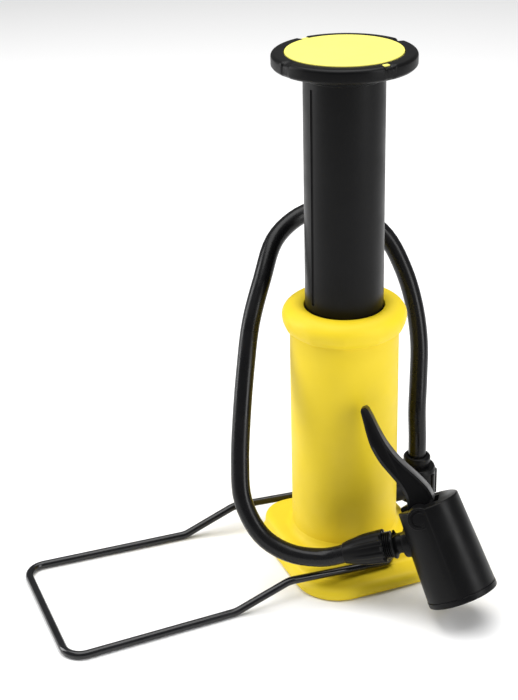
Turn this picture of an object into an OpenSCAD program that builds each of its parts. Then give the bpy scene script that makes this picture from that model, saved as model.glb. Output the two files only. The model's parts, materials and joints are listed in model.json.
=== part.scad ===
// Compact floor pump: palm disc on a sleeve plunger, stout barrel on a broad base,
// fold-up wire foot loop, and a stiff hose from a side outlet to a lever chuck.
// Origin: on the floor under the barrel's axis. +Z up, +X towards the outlet,
// the foot loop lies towards -X and the chuck stands in front, towards -Y.

/* [Handle] */
// Radius of the palm disc
disc_r = 33.3; // [28:0.1:36]
// Thickness of the palm disc
disc_h = 8; // [7:0.5:9]
// Height of the disc's top face above the floor, plunger fully out
disc_top = 261.2; // [255:0.1:264]
// Radius of the inlaid palm pad
pad_r = 27.1; // [22:0.1:28]

/* [Plunger] */
// Outer radius of the plunger sleeve
sleeve_r = 19; // [18.6:0.1:19]
// Inner radius of the plunger sleeve
sleeve_in_r = 16.5; // [15.8:0.1:16.8]

/* [Barrel] */
// Outer radius of the barrel
barrel_r = 26.7; // [26.4:0.1:27]
// Bore radius of the barrel
bore_r = 23.5; // [23.5:0.1:23.8]
// Height of the shoulder where the collar's skirt ends
barrel_top = 124.5; // [120:0.5:126]
// Outer radius of the collar's skirt
skirt_r = 28.1; // [27.8:0.1:28.6]
// Radius of the roll round the collar
roll_r = 7.1; // [6.8:0.1:7.3]

/* [Base] */
// Half width of the base along X
base_x = 38.5; // [38:0.5:39]
// Half depth of the base along Y
base_y = 43.8; // [43.4:0.1:45]
// Corner radius of the base, seen from above
base_corner = 22; // [20:0.5:23]
// Height of the low flange that the foot loop lies over
flange_h = 6.5; // [6:0.1:6.8]
// Height of the raised middle of the base
deck_h = 12.5; // [12.2:0.1:13]

/* [Foot loop] */
// Wire radius of the foot loop
wire_r = 2; // [1.8:0.1:2]
// Reach of the foot loop from the barrel's axis to the cross bar
loop_reach = 160; // [140:1:175]
// Half spread of the loop's arms beside the base
arm_y = 37.9; // [37.7:0.1:38.2]

/* [Chuck] */
// Length of the chuck body
chuck_h = 48.5; // [44:0.5:52]
// Radius of the chuck body at its mouth
chuck_mouth_r = 17.2; // [16:0.1:17.6]
// Radius of the chuck body at its top
chuck_top_r = 15.4; // [15:0.1:16]
// Length of the lever above the chuck body
lever_h = 53; // [50:1:56]

/* [Hose] */
// Radius of the hose
hose_r = 4.6; // [4.2:0.1:4.8]

/* [Hidden] */
$fn = 96;
fit = 0.06;                     // radial clearance of a running fit

disc_z = disc_top - disc_h;     // underside of the palm disc
sleeve_z = 118.4;               // lower end of the sleeve
sleeve_top = disc_z - 0.1;
roll_z = barrel_top + 6.4;      // height of the roll's middle
roll_c = 23.55;                 // radius to the roll's middle
collar_top_r = 19.6;            // opening in the collar's lip
thread_r = 25;                  // barrel radius under the collar
barrel_end = barrel_top + 9.5;
base_shift = -5.8;               // the base reaches further towards the front than the back
barrel_foot = 7;                // the barrel stands in the base at this height
plug_top = 22;
port_z = 25;                    // outlet port through the barrel's wall

pivot_x = 8;                    // hinge line of the foot loop
pivot_z = 9.5;
dog_top_x = -46.7;              // upper end of the loop's step down
dog_low_x = -74.8;              // lower end of the step
arm_step_z = 12.5;
arm_low_y = 37.6;
arm_far_y = 41;
loop_corner = 9;                // bend radius at the cross bar
hinge_bend = 3;                 // bend radius at the hinge ends
step_bend = 8;                  // bend radius at both ends of the step
pin_r = wire_r + 0.05;          // the hinge ends are swaged a little over the wire

outlet_x = 41.8;                // axis of the upright outlet body
outlet_y = 0.5;
outlet_r = 9.8;
outlet_low = 17.5;
outlet_top = 37;
ferrule_r = 7;
ferrule_top = 43;

chuck_pos = [14.6, -62.2, 56.2];        // centre of the chuck's top
chuck_turn = [-24.8, -17.4, -11.1];
chuck_roll = -12;
chuck_pin = [-4.6, 0, -4];              // lever pivot in the chuck's own frame
lever_slot = 12.6;                      // width of the slot the lever swings in
lever_w = 12;
cam_r = 3.2;                            // the lever's cam, set off from the pin by cam_lift
cam_lift = 2;
presser_top = chuck_pin[2] - cam_lift - cam_r - 0.3;
presser_z = -chuck_h + 19.4;            // underside of the presser's flange
nut_pos = [-21.4, -46.6, 27];           // small end of the cone nut
nut_turn = [0, 73, -31];
nut_h = 21;

base_screws = [[26, 18], [-26, 18], [-26, -24], [26, -24]];
pad_places = [[0, 0], [18, 27], [-18, 27], [-18, -38], [18, -38]];

// The hose's route: straight up out of the ferrule, round behind the plunger, down past the
// barrel and forward along the base, then straight into the cone nut.
nut_axis = [cos(nut_turn[2]) * sin(nut_turn[1]), sin(nut_turn[2]) * sin(nut_turn[1]), cos(nut_turn[1])];
hose_bow = [
    [42, 2, 68], [45, 7, 84], [48, 13, 101], [49, 21, 118], [47, 30, 135], [41, 39, 151], [28, 45, 163],
    [13, 47, 168], [-4, 45, 167], [-20, 39, 159], [-31, 29, 144], [-41, 20, 126], [-48, 11, 106],
    [-54, 2, 86], [-59, -7, 66], [-61, -15, 49], [-56, -25, 34], [-45, -34, 26]
];
hose_route = concat(
    [for (z = [39, 53]) [outlet_x, outlet_y, z]],
    hose_bow,
    [for (d = [-11, 3]) nut_pos + d * nut_axis]
);
hose_steps = 3;                 // rings between two route points
hose_sides = 10;

// ---- shared shapes ----

function unit(v) = v / norm(v);
// The part of v square to t, as a unit vector.
function side_of(v, t) = unit(v - (v * t) * t);

module ring(r_out, r_in, h, z) {
    translate([0, 0, z]) difference() {
        cylinder(r = r_out, h = h);
        translate([0, 0, -1]) cylinder(r = r_in, h = h + 2);
    }
}

module donut(r_mid, r_wire, z) {
    translate([0, 0, z]) rotate_extrude() translate([r_mid, 0]) circle(r_wire);
}

// A block with rounded corners, seen from above.
module slab(hx, hy, corner, h) {
    linear_extrude(h) {
        square([2 * (hx - corner), 2 * hy], center = true);
        square([2 * hx, 2 * (hy - corner)], center = true);
        for (sx = [-1, 1], sy = [-1, 1])
            translate([sx * (hx - corner), sy * (hy - corner)]) circle(corner);
    }
}

// The same block with its upper edge rounded by r.
module pillow(hx, hy, corner, h, r) {
    intersection() {
        hull() {
            slab(hx, hy, corner, 1, $fn = 48);
            for (sx = [-1, 1], sy = [-1, 1])
                translate([sx * (hx - corner), sy * (hy - corner), 0]) donut(corner - r, r, h - r, $fn = 32);
        }
        translate([-2 * hx, -2 * hy, 0]) cube([4 * hx, 4 * hy, 2 * h]);
    }
}

module in_chuck() {
    translate(chuck_pos) rotate(chuck_turn) rotate([0, 0, chuck_roll]) children();
}

module on_hose_end() {
    translate(nut_pos) rotate([0, 0, nut_turn[2]]) rotate([0, nut_turn[1], 0]) children();
}

// The centre line of a wire through the points, with the bend radius of each inner point.
function bent_line(points, bends, steps = 6) = let (n = len(points) - 1) [
    points[0],
    for (i = [1:n - 1])
        let (
            d = unit(points[i] - points[i - 1]),
            e = unit(points[i + 1] - points[i]),
            turn = acos(d * e),
            inward = side_of(e, d),
            centre = points[i] - bends[i - 1] * tan(turn / 2) * d + bends[i - 1] * inward
        )
        for (k = [0:steps])
            let (a = turn * k / steps) centre + bends[i - 1] * (sin(a) * d - cos(a) * inward),
    points[n]
];

function tangent(line, i) = unit(line[min(i + 1, len(line) - 1)] - line[max(i - 1, 0)]);

// A round tube swept along a line of points. Side vectors are carried along, so it doesn't twist.
module tube(line, r, sides, first_side) {
    n = len(line);
    across = [
        for (i = 0, s = side_of(first_side, tangent(line, 0)); i < n;
            i = i + 1, s = i < n ? side_of(s, tangent(line, i)) : s) s
    ];
    points = [
        for (i = [0:n - 1], k = [0:sides - 1])
            let (a = 360 * k / sides, u = cross(tangent(line, i), across[i]))
            line[i] + r * (cos(a) * across[i] + sin(a) * u)
    ];
    walls = [
        for (i = [0:n - 2], k = [0:sides - 1])
            let (a = i * sides + k, b = i * sides + (k + 1) % sides)
            [a, a + sides, b + sides, b]
    ];
    first_cap = [[for (k = [0:sides - 1]) k]];
    last_cap = [[for (k = [sides - 1:-1:0]) (n - 1) * sides + k]];
    polyhedron(points, concat(walls, first_cap, last_cap));
}

// ---- base ----

module base_shell() {
    socket_r = barrel_r + 0.1;
    lip = 3.6;                  // how far the fillet climbs the barrel
    color("gold") difference() {
        union() {
            translate([0, base_shift, 0.4]) pillow(base_x, base_y, base_corner, flange_h - 0.4, 4.5);
            translate([0, 0, 3]) pillow(base_x - 3.7, 35.5, 15, deck_h - 3, 3.4);
            rotate_extrude() difference() {
                translate([socket_r - 3, deck_h - 1]) square([lip + 3, lip + 1]);
                translate([socket_r + lip, deck_h + lip]) circle(lip);
            }
        }
        translate([0, 0, barrel_foot]) cylinder(r = socket_r, h = 30);
        translate([0, base_shift, -1]) slab(base_x - 3.4, base_y - 3.4, base_corner - 3.4, 5.2);
        translate([0, 0, -1]) cylinder(r = 2.7, h = 20);
        for (p = base_screws) translate([p[0], p[1], 0]) cylinder(r = 1.2, h = 9);
        for (s = [-1, 1]) translate([pivot_x, s * 29, pivot_z]) rotate([-90 * s, 0, 0]) {
            cylinder(r = pin_r + fit, h = 30);
            translate([0, 0, 5.4]) cylinder(r = 4, h = 1.8);
        }
    }
}

module base_plate() {
    color("dimgray") difference() {
        translate([0, base_shift, 0.6]) slab(base_x - 3.8, base_y - 3.8, base_corner - 3.8, 1.9);
        for (p = base_screws) translate([p[0], p[1], 0]) {
            cylinder(r = 1.5, h = 5);
            cylinder(r = 3, h = 1.5);
        }
        for (p = pad_places) translate([p[0], p[1], 0]) cylinder(r = 4.2, h = 1.5);
    }
}

module foot_pads() {
    color("black") for (p = pad_places) translate([p[0], p[1], 0]) {
        cylinder(r1 = 3.5, r2 = 4, h = 0.5);
        translate([0, 0, 0.5]) cylinder(r = 4, h = 1);
    }
}

module plate_screws() {
    color("silver") for (p = base_screws) translate([p[0], p[1], 0.7]) difference() {
        union() {
            cylinder(r = 2.7, h = 0.8);
            cylinder(r = 1.15, h = 7.8);
        }
        for (a = [0, 90]) rotate([0, 0, a]) cube([3.2, 0.7, 0.8], center = true);
    }
}

module base_bolt() {
    color("silver") difference() {
        union() {
            translate([0, 0, 2.6]) cylinder(r = 4.2, h = 1.6);
            cylinder(r = 2.5, h = 15);
        }
        translate([0, 0, -1]) cylinder(r = 5, h = 3.6);
        translate([0, 0, 2.5]) cylinder(r = 1.6, h = 1, $fn = 6);
    }
}

// ---- barrel ----

module barrel() {
    color("gold") difference() {
        union() {
            translate([0, 0, barrel_foot]) cylinder(r = barrel_r, h = barrel_top - barrel_foot);
            translate([0, 0, barrel_top - 1]) cylinder(r = thread_r, h = barrel_end - barrel_top + 1);
        }
        translate([0, 0, barrel_foot - 1]) cylinder(r = bore_r, h = 150);
        translate([0, 0, port_z]) rotate([0, 90, 0]) cylinder(r = 4, h = 40);
    }
}

module cylinder_plug() {
    color("ivory") difference() {
        translate([0, 0, barrel_foot]) cylinder(r = bore_r - fit, h = plug_top - barrel_foot);
        ring(30, 21.6, 2.6, 13.7);
        translate([0, 0, plug_top - 4]) cylinder(r = 9, h = 10);
        translate([0, 0, -1]) cylinder(r = 2.5, h = 16.5);
        for (a = [0:60:300]) rotate([0, 0, a]) translate([15, 0, -1]) cylinder(r = 3.4, h = 16);
    }
}

module plug_seal() {
    color("black") donut(22.55, 0.9, 15);
}

module collar() {
    color("gold") rotate_extrude() difference() {
        union() {
            translate([roll_c, roll_z]) circle(roll_r);
            translate([thread_r, barrel_top]) square([skirt_r - thread_r, 6]);
        }
        square([2 * barrel_r, barrel_top + 0.1]);
        square([thread_r + 0.05, barrel_end + 0.2]);
        square([collar_top_r, 200]);
    }
}

module guide_bush() {
    color("ivory") difference() {
        translate([0, 0, 121]) cylinder(r = bore_r - 0.05, h = barrel_end - 121);
        translate([0, 0, 120]) cylinder(r = sleeve_r + fit, h = 30);
        translate([0, 0, barrel_end - 2.3]) cylinder(r = 21.6, h = 5);
    }
}

module wiper_ring() {
    color("black") ring(21.5, sleeve_r + 0.05, 2, barrel_end - 2.2);
}

module stop_ring() {
    color("black") ring(bore_r - 0.1, sleeve_r + 0.4, 2.3, 118.65);
}

// ---- outlet and its check valve ----

module outlet_body() {
    color("black") difference() {
        union() {
            translate([outlet_x, outlet_y, outlet_low + 2]) cylinder(r = outlet_r, h = outlet_top - outlet_low - 4);
            translate([outlet_x, outlet_y, 0]) {
                donut(outlet_r - 2, 2, outlet_low + 2);
                donut(outlet_r - 2, 2, outlet_top - 2);
                translate([0, 0, outlet_low]) cylinder(r = outlet_r - 2, h = outlet_top - outlet_low);
            }
            translate([22.5, 0, port_z]) rotate([0, 90, 0]) cylinder(r = 3.95, h = 12);
            translate([barrel_r + 0.1, 0, port_z]) rotate([0, 90, 0]) cylinder(r = 6, h = 12);
        }
        translate([0, 0, port_z - 20]) cylinder(r = bore_r, h = 40);
        translate([20, 0, port_z]) rotate([0, 90, 0]) cylinder(r = 1.8, h = outlet_x - 20);
        translate([outlet_x, outlet_y, port_z - 3]) cylinder(r = 2, h = 30);
        translate([outlet_x, outlet_y, port_z + 3]) cylinder(r = 4.5, h = 30);
        translate([outlet_x, outlet_y, outlet_top - 4]) cylinder(r = 5.6, h = 30);
    }
}

module outlet_ferrule() {
    color("black") translate([outlet_x, outlet_y, 0]) difference() {
        union() {
            translate([0, 0, outlet_top + 0.05]) cylinder(r = ferrule_r, h = ferrule_top - outlet_top - 1.05);
            translate([0, 0, ferrule_top - 2]) cylinder(r = ferrule_r - 1, h = 2);
            donut(ferrule_r - 1, 1, ferrule_top - 1);
            translate([0, 0, outlet_top - 2.2]) cylinder(r = 5.5, h = 4);
        }
        translate([0, 0, outlet_top + 1.5]) cylinder(r = hose_r + 0.05, h = 30);
        cylinder(r = 2.4, h = 100);
    }
}

module outlet_seal() {
    color("black") translate([outlet_x, outlet_y, 0]) donut(4.4, 0.8, outlet_top - 3.1);
}

module valve_seat() {
    color("goldenrod") translate([outlet_x, outlet_y, 0]) ring(4.45, 2, 1.6, port_z + 3);
}

module valve_poppet() {
    color("black") translate([outlet_x, outlet_y, 0]) {
        translate([0, 0, port_z + 4.65]) cylinder(r = 3.2, h = 1.2);
        translate([0, 0, port_z + 4.65]) cylinder(r = 1.1, h = 3);
    }
}

// Coils of the valve's spring, as a stack of wire turns.
module valve_spring() {
    low = port_z + 5.9;
    high = outlet_top - 2.25;
    turns = 4;
    color("silver") translate([outlet_x, outlet_y, 0]) {
        for (i = [0:turns - 1])
            donut(2.3, 0.3, low + 0.35 + i * (high - low - 1) / (turns - 1));
        for (i = [0:turns - 2], a = [180 * (i % 2)])
            rotate([0, 0, a]) translate([2.3, 0, low + 0.35 + i * (high - low - 1) / (turns - 1)])
                cylinder(r = 0.25, h = (high - low - 1) / (turns - 1));
    }
}

// ---- plunger ----

module plunger_sleeve() {
    color("black") difference() {
        ring(sleeve_r, sleeve_in_r, sleeve_top - sleeve_z, sleeve_z);
        rotate([0, 0, -166]) translate([sleeve_r, 0, 141]) cylinder(r = 0.9, h = 106);
    }
}

module handle_disc() {
    rim = 2.2;
    color("black") translate([0, 0, disc_z]) difference() {
        union() {
            rotate_extrude() polygon([
                [0, 0], [disc_r - 3.5, 0], [disc_r - 0.8, 2], [disc_r, 3],
                [disc_r, disc_h - 2], [disc_r - rim, disc_h], [0, disc_h]
            ]);
            translate([0, 0, -4]) cylinder(r = sleeve_in_r - 0.1, h = 5);
        }
        translate([0, 0, disc_h - 2.4]) cylinder(r = pad_r + 0.2, h = 5);
        translate([0, 0, -6]) cylinder(r = 3.1, h = 20);
        translate([0, 0, 1.5]) cylinder(r = 6.2, h = 20);
        for (a = [0:90:270]) rotate([0, 0, a + 13])
            translate([pad_r - 1, -2, disc_h - 2.4]) cube([4, 4, 5]);
    }
}

module handle_pad() {
    color("yellow") translate([0, 0, disc_top - 2.35]) {
        cylinder(r = pad_r, h = 2.4);
        translate([0, 0, 2.4]) cylinder(r1 = pad_r, r2 = pad_r - 0.8, h = 0.75);
        for (a = [90, 270]) rotate([0, 0, a + 13])
            translate([pad_r - 1, -1.8, 0]) cube([3.6, 3.6, 2.4]);
    }
}

module handle_plug() {
    color("ivory") difference() {
        translate([0, 0, 228]) cylinder(r = sleeve_in_r, h = disc_z - 4.1 - 228);
        translate([0, 0, 230]) cylinder(r = 3.05, h = 40);
    }
}

module handle_screw() {
    color("silver") difference() {
        union() {
            translate([0, 0, disc_z + 1.55]) cylinder(r = 5.8, h = 3.2);
            translate([0, 0, 232]) cylinder(r = 3, h = disc_z + 2 - 232);
        }
        translate([0, 0, disc_z + 3]) cylinder(r = 2.6, h = 3, $fn = 6);
    }
}

module piston() {
    color("ivory") difference() {
        union() {
            translate([0, 0, 112.5]) cylinder(r = 22.6, h = 5.8);
            translate([0, 0, 112.5]) cylinder(r = sleeve_in_r, h = 21.5);
        }
        translate([0, 0, 111]) cylinder(r = 3, h = 18);
    }
}

module cup_seal() {
    color("black") difference() {
        translate([0, 0, 106.5]) cylinder(r = bore_r - fit, h = 5.95);
        translate([0, 0, 106]) cylinder(r1 = 22.4, r2 = 20.5, h = 4.4);
        translate([0, 0, 100]) cylinder(r = 3.1, h = 20);
    }
}

module piston_washer() {
    color("silver") ring(17, 3.1, 1.8, 108.55);
}

module piston_screw() {
    color("silver") difference() {
        union() {
            translate([0, 0, 105.2]) cylinder(r = 5.2, h = 3.3);
            translate([0, 0, 106]) cylinder(r = 3, h = 21);
        }
        translate([0, 0, 104]) cylinder(r = 2.6, h = 3, $fn = 6);
    }
}

// ---- foot loop ----

module foot_loop() {
    inner_y = arm_y - hinge_bend - 0.4;
    half = [
        [pivot_x, -inner_y, pivot_z],
        [pivot_x, -arm_y, pivot_z],
        [dog_top_x, -arm_y, arm_step_z],
        [dog_low_x, -arm_low_y, wire_r],
        [-loop_reach, -arm_far_y, wire_r]
    ];
    other = [for (i = [len(half) - 1:-1:0]) [half[i][0], -half[i][1], half[i][2]]];
    bends = [hinge_bend, step_bend, step_bend, loop_corner, loop_corner, step_bend, step_bend, hinge_bend];
    color("black") {
        tube(bent_line(concat(half, other), bends), wire_r, 12, [0, 0, 1]);
        for (s = [-1, 1]) translate([pivot_x, s * 29.5, pivot_z]) rotate([-90 * s, 0, 0])
            cylinder(r = pin_r, h = inner_y - 29.5 + 0.5);
    }
}

// ---- hose ----

// A point on the smooth curve through p[1] and p[2], at t from 0 to 1.
function blend_point(p, t) =
    0.5 * (2 * p[1] + (p[2] - p[0]) * t + (2 * p[0] - 5 * p[1] + 4 * p[2] - p[3]) * t * t
    + (3 * p[1] - p[0] - 3 * p[2] + p[3]) * t * t * t);

function route_at(i) = let (n = len(hose_route) - 1)
    i < 0 ? 2 * hose_route[0] - hose_route[1]
    : i > n ? 2 * hose_route[n] - hose_route[n - 1] : hose_route[i];

hose_line = [
    for (i = [0:len(hose_route) - 2], k = [0:hose_steps - 1])
        blend_point([for (j = [-1:2]) route_at(i + j)], k / hose_steps),
    hose_route[len(hose_route) - 1]
];

module hose() {
    color("black") tube(hose_line, hose_r, hose_sides, [0, 1, 0]);
}

module cone_nut() {
    color("black") on_hose_end() difference() {
        union() {
            cylinder(r1 = 5.6, r2 = 8.2, h = nut_h - 2);
            translate([0, 0, nut_h - 2]) cylinder(r = 8.2, h = 2);
            for (a = [0:45:315]) rotate([0, 0, a]) translate([6.9, 0, nut_h - 12])
                rotate([0, 8, 0]) cylinder(r = 1, h = 12);
        }
        translate([0, 0, -1]) cylinder(r = hose_r + 0.1, h = 4.2);
        cylinder(r = 2.5, h = 40);
        translate([0, 0, nut_h - 13]) cylinder(r = 6.5, h = 40);
    }
}

module hose_barb() {
    color("black") on_hose_end() difference() {
        union() {
            translate([0, 0, 3.3]) cylinder(r = 2.45, h = nut_h - 7);
            translate([0, 0, nut_h - 6]) cylinder(r = 6.4, h = 9.6);
            for (i = [0:2]) donut(6.2, 0.6, nut_h + 0.8 + 1.1 * i);
        }
        cylinder(r = 1.2, h = 60);
    }
}

// ---- chuck ----

module chuck_body() {
    mouth = chuck_h - 3;        // the cap closes the last few millimetres
    color("black") difference() {
        union() {
            in_chuck() {
                translate([0, 0, -mouth])
                    cylinder(r1 = chuck_mouth_r - 0.1, r2 = chuck_top_r, h = mouth);
                for (s = [-1, 1]) translate([chuck_pin[0], s * 14.2, chuck_pin[2]])
                    rotate([90, 0, 0]) cylinder(r = 5.4, h = 2, center = true);
            }
            on_hose_end() {
                translate([0, 0, nut_h + 3.7]) cylinder(r = 5, h = 16);
                translate([0, 0, nut_h + 3.7]) cylinder(r = 7.4, h = 1.6);
            }
        }
        in_chuck() {
            translate([0, 0, -60]) cylinder(r = 11.5, h = 60 + presser_z + 3.6);
            translate([0, 0, -40]) cylinder(r = 5.2, h = 34);
            translate([-22, -lever_slot / 2, -10.5]) cube([28, lever_slot, 20]);
            translate([chuck_pin[0], 0, chuck_pin[2]]) rotate([90, 0, 0])
                cylinder(r = 2.06, h = 60, center = true);
        }
        on_hose_end() cylinder(r = 1.5, h = nut_h + 24);
    }
}

module chuck_cap() {
    color("black") in_chuck() difference() {
        translate([0, 0, -chuck_h]) cylinder(r = chuck_mouth_r, h = 2.9);
        translate([0, 0, -chuck_h - 1]) cylinder(r = 4.6, h = 10);
    }
}

module chuck_grommet() {
    color("dimgray") in_chuck() ring(11.2, 4.2, 16, -chuck_h + 3.1);
}

module chuck_presser() {
    color("ivory") in_chuck() difference() {
        union() {
            translate([0, 0, presser_z]) cylinder(r = 11.2, h = 1.8);
            translate([0, 0, presser_z]) cylinder(r = 5.2 - fit, h = presser_top - presser_z);
        }
        translate([0, 0, -60]) cylinder(r = 1.5, h = 38);
    }
}

// The lever's side outline: a cam round the pin, a thick root and an arched blade.
module lever_outline() {
    top = lever_h;
    polygon([
        [4.2, 0.5], [3.6, 6], [1.2, 12], [-2.4, 19], [-5.6, 26], [-7.8, 34], [-9, 42],
        [-9.6, top - 6], [-10.4, top - 1], [-11.2, top], [-12.6, top - 1], [-13.4, top - 6],
        [-14.6, 42], [-14.9, 34], [-13.6, 26], [-11.2, 19], [-8.8, 12], [-8, 6], [-9, 0.5],
        [-9, -3], [4.2 - 4, -3]
    ]);
}

module chuck_lever() {
    color("black") in_chuck() difference() {
        union() {
            rotate([90, 0, 0]) linear_extrude(lever_w, center = true) lever_outline();
            translate([chuck_pin[0], 0, chuck_pin[2]]) rotate([90, 0, 0])
                cylinder(r = 3.4, h = lever_w, center = true);
            translate([chuck_pin[0], 0, chuck_pin[2] - cam_lift]) rotate([90, 0, 0])
                cylinder(r = cam_r, h = lever_w, center = true);
        }
        translate([chuck_pin[0], 0, chuck_pin[2]]) rotate([90, 0, 0])
            cylinder(r = 2.06, h = 60, center = true);
    }
}

module lever_pin() {
    color("black") in_chuck() translate([chuck_pin[0], 0, chuck_pin[2]])
        rotate([90, 0, 0]) cylinder(r = 2, h = 30.6, center = true);
}

base_shell();
base_plate();
foot_pads();
plate_screws();
base_bolt();
barrel();
cylinder_plug();
plug_seal();
collar();
guide_bush();
wiper_ring();
stop_ring();
outlet_body();
outlet_ferrule();
outlet_seal();
valve_seat();
valve_poppet();
valve_spring();
plunger_sleeve();
handle_disc();
handle_pad();
handle_plug();
handle_screw();
piston();
cup_seal();
piston_washer();
piston_screw();
foot_loop();
hose();
cone_nut();
hose_barb();
chuck_body();
chuck_cap();
chuck_grommet();
chuck_presser();
chuck_lever();
lever_pin();
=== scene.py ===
import json
import math

import bmesh
import bpy
from mathutils import Matrix, Vector


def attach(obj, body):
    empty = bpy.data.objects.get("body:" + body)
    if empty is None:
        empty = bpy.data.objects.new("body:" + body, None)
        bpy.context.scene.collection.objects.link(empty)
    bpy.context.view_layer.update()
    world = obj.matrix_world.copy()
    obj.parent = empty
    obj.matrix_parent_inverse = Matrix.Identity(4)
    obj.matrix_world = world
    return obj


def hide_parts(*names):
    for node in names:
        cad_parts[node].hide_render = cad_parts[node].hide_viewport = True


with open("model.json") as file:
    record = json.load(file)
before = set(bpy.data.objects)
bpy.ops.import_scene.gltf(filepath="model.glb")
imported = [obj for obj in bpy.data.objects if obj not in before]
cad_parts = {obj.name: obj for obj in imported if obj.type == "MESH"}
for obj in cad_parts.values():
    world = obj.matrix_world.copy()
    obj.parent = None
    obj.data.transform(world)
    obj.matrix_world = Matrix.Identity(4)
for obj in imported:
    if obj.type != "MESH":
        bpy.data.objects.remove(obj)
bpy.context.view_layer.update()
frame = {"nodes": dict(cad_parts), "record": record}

# Shapes are drawn in millimetres and put in the scene in metres.
MM = 0.001
FULL_TURN = 2 * math.pi


# ---- drawing tools ----

def at(x, y, z):
    return Matrix.Translation((x, y, z))


def turned(degrees, axis):
    return Matrix.Rotation(math.radians(degrees), 4, axis)


# The chuck's own frame: its middle line, with the top face at height 0 and the mouth below.
CHUCK = (at(14.6, -62.2, 56.2) @ turned(-11.1, "Z") @ turned(-17.4, "Y")
         @ turned(-24.8, "X") @ turned(-12, "Z"))
# The hose end's frame: from the small end of the cone nut towards the chuck.
HOSE_END = at(-21.4, -46.6, 27) @ turned(-31, "Z") @ turned(73, "Y")
# The outlet's upright axis beside the barrel.
OUTLET = at(41.8, 0.5, 0)


def ease(value, low, high):
    """0 below low, 1 above high, and a soft step between."""
    share = min(max((value - low) / (high - low), 0), 1)
    return share * share * (3 - 2 * share)


def rounded(corners, steps=6):
    """The outline through (x, y, radius) corners, with an arc at each corner that has a radius."""
    line = []
    for i, (x, y, radius) in enumerate(corners):
        corner = Vector((x, y))
        if radius == 0:
            line.append(corner)
            continue
        back = (Vector(corners[i - 1][:2]) - corner).normalized()
        ahead = (Vector(corners[(i + 1) % len(corners)][:2]) - corner).normalized()
        half = back.angle(ahead) / 2
        centre = corner + (back + ahead).normalized() * radius / math.sin(half)
        start = corner + back * radius / math.tan(half) - centre
        end = corner + ahead * radius / math.tan(half) - centre
        for k in range(steps + 1):
            line.append(centre + start.slerp(end, k / steps).normalized() * radius)
    return line


def flowing(points, steps):
    """A smooth line through the points."""
    points = [Vector(p) for p in points]
    ends = [2 * points[0] - points[1]] + points + [2 * points[-1] - points[-2]]
    line = []
    for a, b, c, d in zip(ends, ends[1:], ends[2:], ends[3:]):
        for k in range(steps):
            t = k / steps
            line.append(0.5 * (2 * b + (c - a) * t + (2 * a - 5 * b + 4 * c - d) * t ** 2
                               + (3 * b - a - 3 * c + d) * t ** 3))
    return line + [points[-1]]


def lathe(outline, steps=96, ring=True):
    """A round piece from its (radius, height) outline. ring is False where the outline ends on the axis."""
    shape = bmesh.new()
    profile = [shape.verts.new((p[0], 0, p[1])) for p in outline]
    pairs = list(zip(profile, profile[1:])) + ([(profile[-1], profile[0])] if ring else [])
    edges = [shape.edges.new(pair) for pair in pairs]
    bmesh.ops.spin(shape, geom=profile + edges, cent=(0, 0, 0), axis=(0, 0, 1),
                   angle=FULL_TURN, steps=steps, use_merge=True)
    bmesh.ops.remove_doubles(shape, verts=shape.verts, dist=0.0005)
    bmesh.ops.recalc_face_normals(shape, faces=shape.faces)
    return shape


def rod(radius, low, high, steps=48):
    return lathe([(0, low), (radius, low), (radius, high), (0, high)], steps, ring=False)


def prism(outline, depth):
    """A block with the (x, y) outline as its foot at height 0, and a flat top at depth."""
    shape = bmesh.new()
    foot = shape.faces.new([shape.verts.new((p[0], p[1], 0)) for p in outline])
    lifted = bmesh.ops.extrude_face_region(shape, geom=[foot])["geom"]
    top = [part for part in lifted if isinstance(part, bmesh.types.BMVert)]
    bmesh.ops.translate(shape, vec=(0, 0, depth), verts=top)
    bmesh.ops.holes_fill(shape, edges=[e for e in shape.edges if e.is_boundary], sides=0)
    bmesh.ops.recalc_face_normals(shape, faces=shape.faces)
    return shape


def soften(shape, edges, offset, segments=4):
    bmesh.ops.bevel(shape, geom=edges, offset=offset, offset_type="OFFSET", segments=segments,
                    profile=0.5, affect="EDGES", material=-1, clamp_overlap=True)
    return shape


def level_edges(shape, height):
    """The edges that lie at one height."""
    return [e for e in shape.edges if all(abs(v.co.z - height) < 0.001 for v in e.verts)]


def placed(shape, matrix):
    bmesh.ops.transform(shape, matrix=matrix, verts=shape.verts)
    return shape


def working_copy(shape):
    mesh = bpy.data.meshes.new("work")
    shape.to_mesh(mesh)
    shape.free()
    thing = bpy.data.objects.new("work", mesh)
    bpy.context.scene.collection.objects.link(thing)
    return thing


def as_modified(*things):
    """The first object with its modifiers applied, as a bmesh. All the objects are removed."""
    ready = things[0].evaluated_get(bpy.context.evaluated_depsgraph_get())
    shape = bmesh.new()
    shape.from_mesh(ready.to_mesh())
    for thing in things:
        bpy.data.objects.remove(thing)
    return shape


def combined(shape, other, how):
    """Joins (UNION) or cuts (DIFFERENCE) one solid with another."""
    base = working_copy(shape)
    tool = working_copy(other)
    step = base.modifiers.new("combine", "BOOLEAN")
    step.operation = how
    step.solver = "EXACT"
    step.object = tool
    result = as_modified(base, tool)
    bmesh.ops.remove_doubles(result, verts=result.verts, dist=0.0005)
    return result


def fused(shape, cell, passes):
    """Overlapping solids flowed into one skin, with every inner corner softened."""
    base = working_copy(shape)
    step = base.modifiers.new("fuse", "REMESH")
    step.mode = "VOXEL"
    step.voxel_size = cell
    result = as_modified(base)
    for _ in range(passes):
        bmesh.ops.smooth_vert(result, verts=result.verts, factor=0.5,
                              use_axis_x=True, use_axis_y=True, use_axis_z=True)
    return result


def added(shape, other):
    """Puts another solid in the same piece."""
    mesh = bpy.data.meshes.new("work")
    other.to_mesh(mesh)
    other.free()
    shape.from_mesh(mesh)
    bpy.data.meshes.remove(mesh)
    return shape


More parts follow.
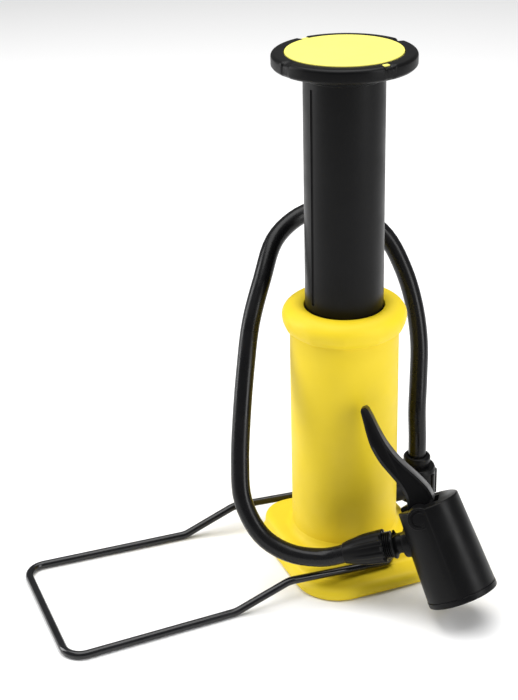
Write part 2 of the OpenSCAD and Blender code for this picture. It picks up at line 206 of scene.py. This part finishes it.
def new_piece(name, shape, finish, body, *nodes, crease=35):
    """Puts a finished shape in the scene, on its body, in place of its CAD nodes."""
    bmesh.ops.scale(shape, vec=(MM, MM, MM), verts=shape.verts)
    mesh = bpy.data.meshes.new(name)
    shape.to_mesh(mesh)
    shape.free()
    mesh.polygons.foreach_set("use_smooth", [True] * len(mesh.polygons))
    mesh.set_sharp_from_angle(angle=math.radians(crease))
    mesh.materials.append(FINISHES[finish])
    piece = bpy.data.objects.new(name, mesh)
    bpy.context.scene.collection.objects.link(piece)
    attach(piece, body)
    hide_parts(*nodes)
    return piece


def new_line(name, points, radius, finish, body, node):
    """A round wire or hose along a line of points in millimetres."""
    curve = bpy.data.curves.new(name, "CURVE")
    curve.dimensions = "3D"
    curve.bevel_depth = radius * MM
    curve.bevel_resolution = 7
    curve.use_fill_caps = True
    spline = curve.splines.new("POLY")
    spline.points.add(len(points) - 1)
    for knot, point in zip(spline.points, points):
        knot.co = (*(Vector(point) * MM), 1)
    spline.use_smooth = True
    curve.materials.append(FINISHES[finish])
    piece = bpy.data.objects.new(name, curve)
    bpy.context.scene.collection.objects.link(piece)
    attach(piece, body)
    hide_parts(node)
    return piece


# ---- finishes ----

class Recipe:
    """The nodes of one finish, all read from Object coordinates."""

    def __init__(self, name, colour, roughness, metallic=0.0):
        self.material = bpy.data.materials.new(name)
        self.material.use_nodes = True
        self.nodes = self.material.node_tree.nodes
        self.links = self.material.node_tree.links
        self.shader = self.nodes["Principled BSDF"]
        self.shader.inputs["Base Color"].default_value = (*colour, 1)
        self.shader.inputs["Roughness"].default_value = roughness
        self.shader.inputs["Metallic"].default_value = metallic
        self.place = self.nodes.new("ShaderNodeTexCoord").outputs["Object"]
        self.last_bump = None

    def noise(self, scale, detail=3.0, stretch=(1, 1, 1)):
        mapping = self.nodes.new("ShaderNodeMapping")
        mapping.inputs["Scale"].default_value = stretch
        self.links.new(self.place, mapping.inputs["Vector"])
        noise = self.nodes.new("ShaderNodeTexNoise")
        noise.inputs["Scale"].default_value = scale
        noise.inputs["Detail"].default_value = detail
        self.links.new(mapping.outputs["Vector"], noise.inputs["Vector"])
        return noise.outputs["Fac"]

    def ramp(self, value, low, high, low_at=0.3, high_at=0.7):
        ramp = self.nodes.new("ShaderNodeValToRGB")
        for stop, where, tone in zip(ramp.color_ramp.elements, (low_at, high_at), (low, high)):
            stop.position = where
            stop.color = (*tone, 1) if isinstance(tone, tuple) else (tone, tone, tone, 1)
        self.links.new(value, ramp.inputs["Fac"])
        return ramp.outputs["Color"]

    def colour(self, value):
        self.links.new(value, self.shader.inputs["Base Color"])

    def roughness(self, value):
        self.links.new(value, self.shader.inputs["Roughness"])

    def bump(self, height, strength, distance):
        bump = self.nodes.new("ShaderNodeBump")
        bump.inputs["Strength"].default_value = strength
        bump.inputs["Distance"].default_value = distance
        self.links.new(height, bump.inputs["Height"])
        if self.last_bump:
            self.links.new(self.last_bump, bump.inputs["Normal"])
        self.last_bump = bump.outputs["Normal"]
        self.links.new(self.last_bump, self.shader.inputs["Normal"])


def shade(colour, factor):
    return tuple(min(part * factor, 1) for part in colour)


def moulded_plastic(name, colour, smooth, rough, grain, specular=0.5, mottle=0.05):
    """Moulded plastic: faint flow clouds in the colour, uneven sheen, a fine spark-eroded grain."""
    recipe = Recipe(name, colour, rough)
    clouds = recipe.noise(28, 4)
    recipe.colour(recipe.ramp(clouds, shade(colour, 1 - mottle), shade(colour, 1 + mottle)))
    recipe.roughness(recipe.ramp(recipe.noise(90, 5), smooth, rough))
    recipe.bump(recipe.noise(2600, 2), grain, 0.00012)
    recipe.bump(recipe.noise(60, 2), 0.05, 0.0006)
    recipe.shader.inputs["Specular IOR Level"].default_value = specular
    return recipe.material


def coated_wire(name, colour):
    """Thick glossy dip coat on wire, with a soft orange peel and a few dull rubs."""
    recipe = Recipe(name, colour, 0.2)
    recipe.colour(recipe.ramp(recipe.noise(70, 3), shade(colour, 0.8), shade(colour, 1.5)))
    recipe.roughness(recipe.ramp(recipe.noise(160, 6), 0.13, 0.3, 0.45, 0.75))
    recipe.bump(recipe.noise(420, 2), 0.1, 0.0003)
    recipe.shader.inputs["Specular IOR Level"].default_value = 0.2
    recipe.shader.inputs["Coat Weight"].default_value = 0.3
    recipe.shader.inputs["Coat Roughness"].default_value = 0.06
    return recipe.material


def drawn_rubber(name, colour):
    """Extruded hose: even gloss, slight dusty clouds, fine pores."""
    recipe = Recipe(name, colour, 0.3)
    recipe.colour(recipe.ramp(recipe.noise(45, 5), shade(colour, 0.85), shade(colour, 1.4)))
    recipe.roughness(recipe.ramp(recipe.noise(130, 5), 0.2, 0.34))
    recipe.bump(recipe.noise(1500, 3), 0.08, 0.0001)
    recipe.bump(recipe.noise(40, 1), 0.08, 0.0008)
    recipe.shader.inputs["Specular IOR Level"].default_value = 0.22
    return recipe.material


def matte_rubber(name, colour):
    """Pressed rubber: dull, with a powdery bloom."""
    recipe = Recipe(name, colour, 0.75)
    recipe.colour(recipe.ramp(recipe.noise(120, 6), colour, shade(colour, 2.4), 0.45, 0.8))
    recipe.roughness(recipe.ramp(recipe.noise(300, 3), 0.62, 0.85))
    recipe.bump(recipe.noise(1900, 3), 0.25, 0.0001)
    return recipe.material


def worked_metal(name, colour, smooth, rough, stretch):
    """Turned or drawn metal, with its tool lines along the stretched direction."""
    recipe = Recipe(name, colour, rough, metallic=1.0)
    recipe.colour(recipe.ramp(recipe.noise(80, 5), shade(colour, 0.82), shade(colour, 1.08)))
    recipe.roughness(recipe.ramp(recipe.noise(700, 4, stretch), smooth, rough))
    recipe.bump(recipe.noise(1400, 3, stretch), 0.12, 0.00008)
    return recipe.material


YELLOW = (0.80, 0.60, 0.018)
PALE_YELLOW = (0.76, 0.70, 0.14)
BLACK = (0.0035, 0.0035, 0.0038)

FINISHES = {
    "yellow_plastic": moulded_plastic("yellow_plastic", YELLOW, 0.46, 0.6, 0.12, specular=0.3),
    "yellow_pad": moulded_plastic("yellow_pad", PALE_YELLOW, 0.5, 0.66, 0.25, specular=0.3, mottle=0.03),
    "black_plastic": moulded_plastic("black_plastic", BLACK, 0.3, 0.42, 0.14, specular=0.12, mottle=0.2),
    "black_wire": coated_wire("black_wire", (0.008, 0.008, 0.009)),
    "hose_rubber": drawn_rubber("hose_rubber", (0.0045, 0.0045, 0.005)),
    "white_plastic": moulded_plastic("white_plastic", (0.82, 0.79, 0.7), 0.35, 0.5, 0.1),
    "steel": worked_metal("steel", (0.6, 0.6, 0.61), 0.22, 0.4, (1, 1, 12)),
    "brass": worked_metal("brass", (0.78, 0.55, 0.22), 0.2, 0.36, (1, 1, 14)),
    "seal_rubber": matte_rubber("seal_rubber", (0.016, 0.016, 0.017)),
}


def finish_cad_nodes():
    """Every carried-over node takes the finish that its record row names."""
    for row in frame["record"]["subparts"]:
        mesh = frame["nodes"][row["node"]].data
        mesh.materials.clear()
        mesh.materials.append(FINISHES[row["material_slot"]])


# ---- hose, first because everything in front of the barrel hangs on it ----

HOSE_RADIUS = 4.6
HOSE_BOW = [
    (42, 2, 68), (45, 7, 84), (48, 13, 101), (49, 21, 118), (47, 30, 135), (41, 39, 151), (28, 45, 163),
    (13, 47, 168), (-4, 45, 167), (-20, 39, 159), (-31, 29, 144), (-41, 20, 126), (-48, 11, 106),
    (-54, 2, 86), (-59, -7, 66), (-61, -15, 49), (-56, -25, 34), (-45, -34, 26),
]
# Straight up out of the ferrule, round behind the plunger, and straight into the cone nut.
HOSE_ROUTE = ([OUTLET @ Vector((0, 0, z)) for z in (39, 53)] + HOSE_BOW
              + [HOSE_END @ Vector((0, 0, d)) for d in (-11, 3)])


def make_hose():
    return new_line("air_hose", flowing(HOSE_ROUTE, 5), HOSE_RADIUS, "hose_rubber", "stand", "hose")


# ---- base, barrel and collar ----

def pillow(half_x, half_y, corner, low, high, edge):
    """A block with rounded corners and a rounded upper edge."""
    outline = rounded([(half_x, -half_y, corner), (half_x, half_y, corner),
                       (-half_x, half_y, corner), (-half_x, -half_y, corner)], 10)
    shape = prism(outline, high - low)
    soften(shape, level_edges(shape, high - low), edge, 5)
    return placed(shape, at(0, 0, low))


BASE_SHIFT = -5.8       # the base reaches further towards the front than the back
BASE_X, BASE_Y, BASE_CORNER = 38.5, 43.8, 22
BASE_WALL = 3.4
HINGE_X, HINGE_HEIGHT = 8, 9.5
PORT_HEIGHT = 25


def make_base():
    shape = placed(pillow(BASE_X, BASE_Y, BASE_CORNER, 0.1, 6.5, 4.2), at(0, BASE_SHIFT, 0))
    added(shape, pillow(34.8, 35.5, 15, 0.1, 12.5, 3.2))
    fillet = rounded([(24, 9, 0), (31, 9, 0), (31, 12.5, 0),
                      (26.9, 12.5, 4), (26.9, 17, 0), (24, 17, 0)])
    added(shape, lathe(fillet))
    shape = fused(shape, 0.7, 9)
    for side in (-1, 1):
        hinge = at(HINGE_X, side * 34.2, HINGE_HEIGHT) @ turned(-90 * side, "X")
        shape = combined(shape, placed(rod(3.1, 0, 12), hinge), "DIFFERENCE")
    x, y, corner = BASE_X - BASE_WALL, BASE_Y - BASE_WALL, BASE_CORNER - BASE_WALL
    hollow = prism(rounded([(x, -y, corner), (x, y, corner), (-x, y, corner), (-x, -y, corner)]), 5)
    shape = combined(shape, placed(hollow, at(0, BASE_SHIFT, -0.8)), "DIFFERENCE")
    return new_piece("base_moulding", shape, "yellow_plastic", "stand", "base_shell", crease=50)


def make_barrel():
    bore, outer, thread = 23.5, 26.7, 25
    foot, shoulder, top = 7, 124.5, 134
    outline = rounded([(bore, foot, 0), (outer, foot, 0.4), (outer, shoulder, 0.5),
                       (thread, shoulder, 0), (thread, top, 0.5), (bore, top, 0)])
    shape = lathe(outline, 128)
    port = placed(rod(4, 20, 30), at(0, 0, PORT_HEIGHT) @ turned(90, "Y"))
    shape = combined(shape, port, "DIFFERENCE")
    return new_piece("barrel_tube", shape, "yellow_plastic", "stand", "barrel")


GRIP_FLATS = 11


def make_collar():
    roll, middle, height = 7.1, 23.55, 130.9
    outline = [(28.1, 124.6), (28.1, 125.6)]
    for k in range(33):
        angle = math.radians(-50 + k * 220 / 32)
        outline.append((max(middle + roll * math.cos(angle), 19.6), height + roll * math.sin(angle)))
    outline += [(19.6, 134.2), (25.05, 134.2), (25.05, 124.6)]
    shape = lathe(outline, 176)
    for vert in shape.verts:
        radius = math.hypot(vert.co.x, vert.co.y)
        if radius < 26 or vert.co.z > height + 4:
            continue
        turn = math.atan2(vert.co.y, vert.co.x) * GRIP_FLATS / FULL_TURN
        ridge = (2 * abs(turn - round(turn))) ** 3
        press = 0.5 * (1 - ridge) * (1 - ease(vert.co.z, height - 3, height + 4)) * ease(radius, 26, 28.5)
        vert.co.x *= 1 - press / radius
        vert.co.y *= 1 - press / radius
    return new_piece("collar_roll", shape, "yellow_plastic", "stand", "collar")


# ---- plunger and palm disc ----

NOTCHES = [13, 103, 193, 283]
TABS = [103, 283]


def make_sleeve():
    shape = lathe(rounded([(16.5, 118.4, 0), (19, 118.4, 0.4), (19, 249.4, 0), (19.35, 249.8, 0.2),
                           (19.35, 253.1, 0), (16.5, 253.1, 0)]), 160)
    groove = placed(rod(0.9, 141, 246.5), turned(-166, "Z") @ at(19.1, 0, 0))
    shape = combined(shape, groove, "DIFFERENCE")
    return new_piece("plunger_tube", shape, "black_plastic", "plunger", "plunger_sleeve")


def notch_depth(x, y, half_width):
    """1 in the middle of a notch in the disc's rim, 0 outside it."""
    turn = math.degrees(math.atan2(y, x))
    away = min(abs((turn - notch + 180) % 360 - 180) for notch in NOTCHES)
    return 1 - ease(away, half_width - 1, half_width + 1.2)


def make_disc():
    low, high = 253.2, 261.2
    shape = lathe(rounded([
        (3.1, low, 0), (28.5, low, 3), (32.4, low + 1.4, 1.4),
        (33.3, high - 5.6, 1), (33.3, high - 0.2, 1.7), (27.5, high, 0.35),
        (27.3, high - 2.4, 0), (6.2, high - 2.4, 0), (6.2, low + 1.5, 0), (3.1, low + 1.5, 0),
    ]), 288)
    for vert in shape.verts:
        radius = math.hypot(vert.co.x, vert.co.y)
        if radius < 27.2:
            continue
        dip = notch_depth(vert.co.x, vert.co.y, 4) * ease(radius, 28, 29)
        pull = 1 - 0.5 * dip * ease(radius, 31, 33) / radius
        vert.co.x *= pull
        vert.co.y *= pull
        if vert.co.z > high - 2.2:
            vert.co.z -= 0.9 * dip
    boss = lathe([(3.1, low - 4), (16.4, low - 4), (16.4, low + 0.5), (3.1, low + 0.5)])
    added(shape, boss)
    return new_piece("palm_disc", shape, "black_plastic", "plunger", "handle_disc")


def make_pad():
    low, high = 258.85, 262
    dome = [(27.1, low, 0), (27.1, high - 0.5, 0.45), (25.8, high - 0.25, 0.8)]
    shape = lathe([(0, low)] + rounded([(0, low, 0)] + dome + [(0, high + 0.1, 0)])[1:], 160, ring=False)
    for degrees in TABS:
        tab = pillow(2.4, 1.75, 0.6, 0, 2.1, 0.4)
        added(shape, placed(tab, turned(degrees, "Z") @ at(28.2, 0, low)))
    return new_piece("palm_pad", shape, "yellow_pad", "plunger", "handle_pad")


# ---- outlet ----

def make_outlet():
    body = lathe(rounded([(0, 17.5, 0), (9.8, 17.5, 2.2), (9.8, 35, 0.4),
                          (9, 37, 0.8), (0, 37, 0)]), ring=False)
    for degrees in (-60, -120, -20):
        rib = placed(pillow(1, 0.9, 0.3, 20, 34, 0.4), turned(degrees, "Z") @ at(9.6, 0, 0))
        body = combined(body, rib, "UNION")
    placed(body, OUTLET)
    flange = placed(rod(6.4, 26.75, 38), at(0, 0, PORT_HEIGHT) @ turned(90, "Y"))
    spigot = placed(rod(3.9, 23, 40), at(0, 0, PORT_HEIGHT) @ turned(90, "Y"))
    body = combined(body, flange, "UNION")
    body = combined(body, spigot, "UNION")
    for radius, low, high in ((4.5, 28, 60), (5.6, 33, 60), (2, 22, 40)):
        body = combined(body, placed(rod(radius, low, high), OUTLET), "DIFFERENCE")
    return new_piece("outlet_housing", body, "black_plastic", "stand", "outlet_body")


def make_ferrule():
    outline = rounded([(4.7, 34.9, 0), (5.5, 34.9, 0), (5.5, 37.05, 0), (6.2, 37.05, 0), (6.2, 39.2, 0.4),
                       (7, 39.6, 0.5), (7, 43, 1.5), (4.7, 43, 0.6)])
    return new_piece("hose_ferrule", placed(lathe(outline), OUTLET), "black_plastic", "stand", "outlet_ferrule")


# ---- foot loop ----

def bent(points, radii, steps=8):
    """A wire's line through the points, with an arc of the given radius at each inner point."""
    points = [Vector(p) for p in points]
    line = [points[0]]
    for before, corner, after, radius in zip(points, points[1:], points[2:], radii):
        back = (before - corner).normalized()
        ahead = (after - corner).normalized()
        half = back.angle(ahead) / 2
        centre = corner + (back + ahead).normalized() * radius / math.sin(half)
        start = corner + back * radius / math.tan(half) - centre
        end = corner + ahead * radius / math.tan(half) - centre
        line += [centre + start.slerp(end, k / steps).normalized() * radius for k in range(steps + 1)]
    return line + [points[-1]]


def make_foot_loop():
    half = [(HINGE_X, -29.5, HINGE_HEIGHT), (HINGE_X, -37.9, HINGE_HEIGHT), (-46.7, -37.9, 12.5),
            (-74.8, -37.6, 2), (-160, -41, 2)]
    mirrored = [(x, -y, z) for x, y, z in reversed(half)]
    line = bent(half + mirrored, [3, 12, 12, 9, 9, 12, 12, 3])
    return new_line("foot_wire_loop", line, 2, "black_wire", "foot_wire", "foot_loop")


# ---- cone nut and threaded barb ----

NUT_LENGTH = 21
NUT_RIBS = 8


def make_cone_nut():
    flank = flowing([(5.3, 0.4), (6.3, 4), (7.2, 9), (7.8, 15), (8.1, NUT_LENGTH - 0.5)], 5)
    outline = ([(2.55, 0.1), (4.7, 0)] + [tuple(p) for p in flank]
               + [(7.7, NUT_LENGTH), (6.5, NUT_LENGTH), (6.5, 8), (2.55, 8)])
    shape = lathe(outline, 160)
    for vert in shape.verts:
        radius = math.hypot(vert.co.x, vert.co.y)
        if radius < 5:
            continue
        turn = math.atan2(vert.co.y, vert.co.x)
        wave = math.cos(NUT_RIBS * turn)
        rise = 0.42 * ease(wave, -0.1, 0.9) * ease(vert.co.z, 2, 11) - 0.22
        if radius > 7 or vert.co.z < 19:
            vert.co.x *= 1 + rise / radius
            vert.co.y *= 1 + rise / radius
        if vert.co.z > NUT_LENGTH - 1.2 and radius > 6.6:
            vert.co.z -= 0.9 * (1 - ease(wave, -0.6, 0.1))
    return new_piece("cone_nut_ribbed", placed(shape, HOSE_END), "black_plastic", "stand",
                     "cone_nut", crease=40)


def make_barb():
    outline = [(1.2, 3.3), (2.45, 3.3), (2.45, NUT_LENGTH - 6), (5.9, NUT_LENGTH - 6), (5.9, NUT_LENGTH - 1)]
    for k in range(5):
        foot = NUT_LENGTH - 0.9 + 0.95 * k
        outline += [(5.9, foot), (6.6, foot + 0.34), (6.6, foot + 0.52), (5.9, foot + 0.86)]
    outline += [(1.2, NUT_LENGTH + 3.6)]
    outline = [(radius, min(height, NUT_LENGTH + 3.6)) for radius, height in outline]
    return new_piece("threaded_barb", placed(lathe(outline), HOSE_END), "black_plastic", "stand", "hose_barb")


# ---- chuck ----

MOUTH = -48.5
PIVOT = at(-4.6, 0, -4)
SLOT_HALF = 6.3
LEVER_HALF = 6


def make_chuck_body():
    outline = rounded([(0, -45.5, 0), (17.05, -45.5, 0.3), (15.4, 0, 0.8), (0, 0, 0)])
    shape = placed(lathe(outline, 128, ring=False), CHUCK)
    for side in (-1, 1):
        hub = lathe(rounded([(0, 5, 0), (5.5, 5, 0), (5.5, 15.5, 0.5), (4.4, 15.5, 0.3), (4.1, 14.8, 0.2),
                             (3.2, 14.8, 0.2), (2.9, 15.4, 0.3), (0, 15.4, 0)]), 64, ring=False)
        shape = combined(shape, placed(hub, CHUCK @ PIVOT @ turned(90 * side, "X")), "UNION")
    neck = lathe(rounded([(0, 24.7, 0), (7, 24.7, 0.3), (7.3, 25.8, 0.4), (5.6, 26.6, 0.4), (5, 27.4, 0.5),
                          (5, 38.5, 0), (0, 38.5, 0)]), 64, ring=False)
    shape = combined(shape, placed(neck, HOSE_END), "UNION")
    root = lathe(rounded([(0, 30, 0), (7.4, 30, 1.2), (8.4, 40, 0), (0, 40, 0)]), 64, ring=False)
    shape = combined(shape, placed(root, HOSE_END), "UNION")
    slot = prism([(-22, -SLOT_HALF), (6, -SLOT_HALF), (6, SLOT_HALF), (-22, SLOT_HALF)], 20)
    slot = placed(slot, at(0, 0, -10.5))
    for cutter in (slot, rod(11.5, -60, -25.5), rod(5.2, -40, -6)):
        shape = combined(shape, placed(cutter, CHUCK), "DIFFERENCE")
    return new_piece("chuck_housing", shape, "black_plastic", "stand", "chuck_body", crease=32)


def make_chuck_cap():
    outline = rounded([(4.6, MOUTH, 0.5), (17.2, MOUTH, 0.55), (17.2, MOUTH + 2.9, 0.3), (4.6, MOUTH + 2.9, 0)])
    return new_piece("chuck_mouth_ring", placed(lathe(outline, 128), CHUCK), "black_plastic",
                     "stand", "chuck_cap")


def make_lever():
    front = flowing([(4.2, 0.5), (3.6, 6), (1.2, 12), (-2.4, 19), (-5.6, 26),
                     (-7.8, 34), (-8.8, 42), (-9.2, 47), (-9.8, 51.4)], 4)
    back = flowing([(-13.4, 51.6), (-13.9, 47), (-14.6, 41), (-14.9, 34), (-13.6, 26),
                    (-11.2, 19), (-8.8, 12), (-8, 6), (-9, 0.5)], 4)
    outline = ([tuple(p) for p in front] + [(-10.6, 52.7), (-12.6, 52.8)]
               + [tuple(p) for p in back] + [(-9, -3), (0.2, -3)])
    blade = placed(prism(outline, 2 * LEVER_HALF), at(0, LEVER_HALF, 0) @ turned(90, "X"))
    sides = [f for f in blade.faces if abs(f.normal.y) > 0.99]
    bmesh.ops.inset_individual(blade, faces=sides, thickness=1.3, depth=-1.1, use_even_offset=True)
    rim = [e for e in blade.edges if all(abs(abs(v.co.y) - LEVER_HALF) < 0.01 for v in e.verts)
           and e.verts[0].co.y * e.verts[1].co.y > 0]
    soften(blade, rim, 0.45, 3)
    for vert in blade.verts:
        vert.co.y *= 1 - 0.2 * ease(vert.co.z, 20, 52)
    for radius, lift in ((3.4, 0), (3.2, 2)):
        cam = placed(rod(radius, -LEVER_HALF, LEVER_HALF), PIVOT @ at(0, 0, -lift) @ turned(90, "X"))
        blade = combined(blade, cam, "UNION")
    blade = combined(blade, placed(rod(2.06, -20, 20), PIVOT @ turned(90, "X")), "DIFFERENCE")
    return new_piece("thumb_lever", placed(blade, CHUCK), "black_plastic", "lever", "chuck_lever", crease=38)


# ---- camera, light and floor ----

CAMERA_PLACE = (-0.2832, -0.6164, 0.4416)
CAMERA_YAW, CAMERA_DOWN, CAMERA_ROLL = -21.14, 25.89, -1.52

def set_camera():
    camera = bpy.data.objects.new("camera", bpy.data.cameras.new("camera"))
    camera.data.lens = 78.87
    camera.data.sensor_width = 36
    camera.data.clip_start = 0.05
    camera.matrix_world = (at(*CAMERA_PLACE) @ turned(CAMERA_YAW, "Z") @ turned(90 - CAMERA_DOWN, "X")
                           @ turned(CAMERA_ROLL, "Z"))
    bpy.context.scene.collection.objects.link(camera)
    bpy.context.scene.camera = camera


def add_light(name, place, aim, width, height, power):
    data = bpy.data.lights.new(name, "AREA")
    data.shape = "RECTANGLE"
    data.size = width
    data.size_y = height
    data.energy = power
    light = bpy.data.objects.new(name, data)
    direction = Vector(aim) - Vector(place)
    light.matrix_world = at(*place) @ direction.to_track_quat("-Z", "Y").to_matrix().to_4x4()
    bpy.context.scene.collection.objects.link(light)


def set_stage():
    floor_shape = bmesh.new()
    bmesh.ops.create_grid(floor_shape, x_segments=1, y_segments=1, size=5)
    mesh = bpy.data.meshes.new("floor")
    floor_shape.to_mesh(mesh)
    floor_shape.free()
    floor = bpy.data.objects.new("floor", mesh)
    bpy.context.scene.collection.objects.link(floor)
    paint = Recipe("floor_paper", (0.9, 0.9, 0.9), 0.9)
    paint.shader.inputs["Specular IOR Level"].default_value = 0.05
    mesh.materials.append(paint.material)

    world = bpy.data.worlds.new("studio")
    world.use_nodes = True
    world.node_tree.nodes["Background"].inputs["Color"].default_value = (1, 1, 1, 1)
    world.node_tree.nodes["Background"].inputs["Strength"].default_value = 0.2
    bpy.context.scene.world = world
    add_light("overhead", (0, 0.1, 1.5), (0, 0, 0), 1.6, 1.6, 34)
    add_light("left_strip", (-0.94, 0.57, 0.5), (0, 0, 0.12), 0.4, 0.9, 9)
    add_light("right_strip", (0.61, -0.91, 0.5), (0, 0, 0.12), 0.4, 0.9, 7)
    bpy.context.scene.view_settings.view_transform = "Standard"


# ---- putting it together ----

finish_cad_nodes()
set_camera()
set_stage()
air_hose = make_hose()
make_base()
make_barrel()
make_collar()
make_sleeve()
make_disc()
make_pad()
make_outlet()
make_ferrule()
make_foot_loop()
cone_nut = make_cone_nut()
barb = make_barb()
chuck = make_chuck_body()
cap = make_chuck_cap()
lever = make_lever()
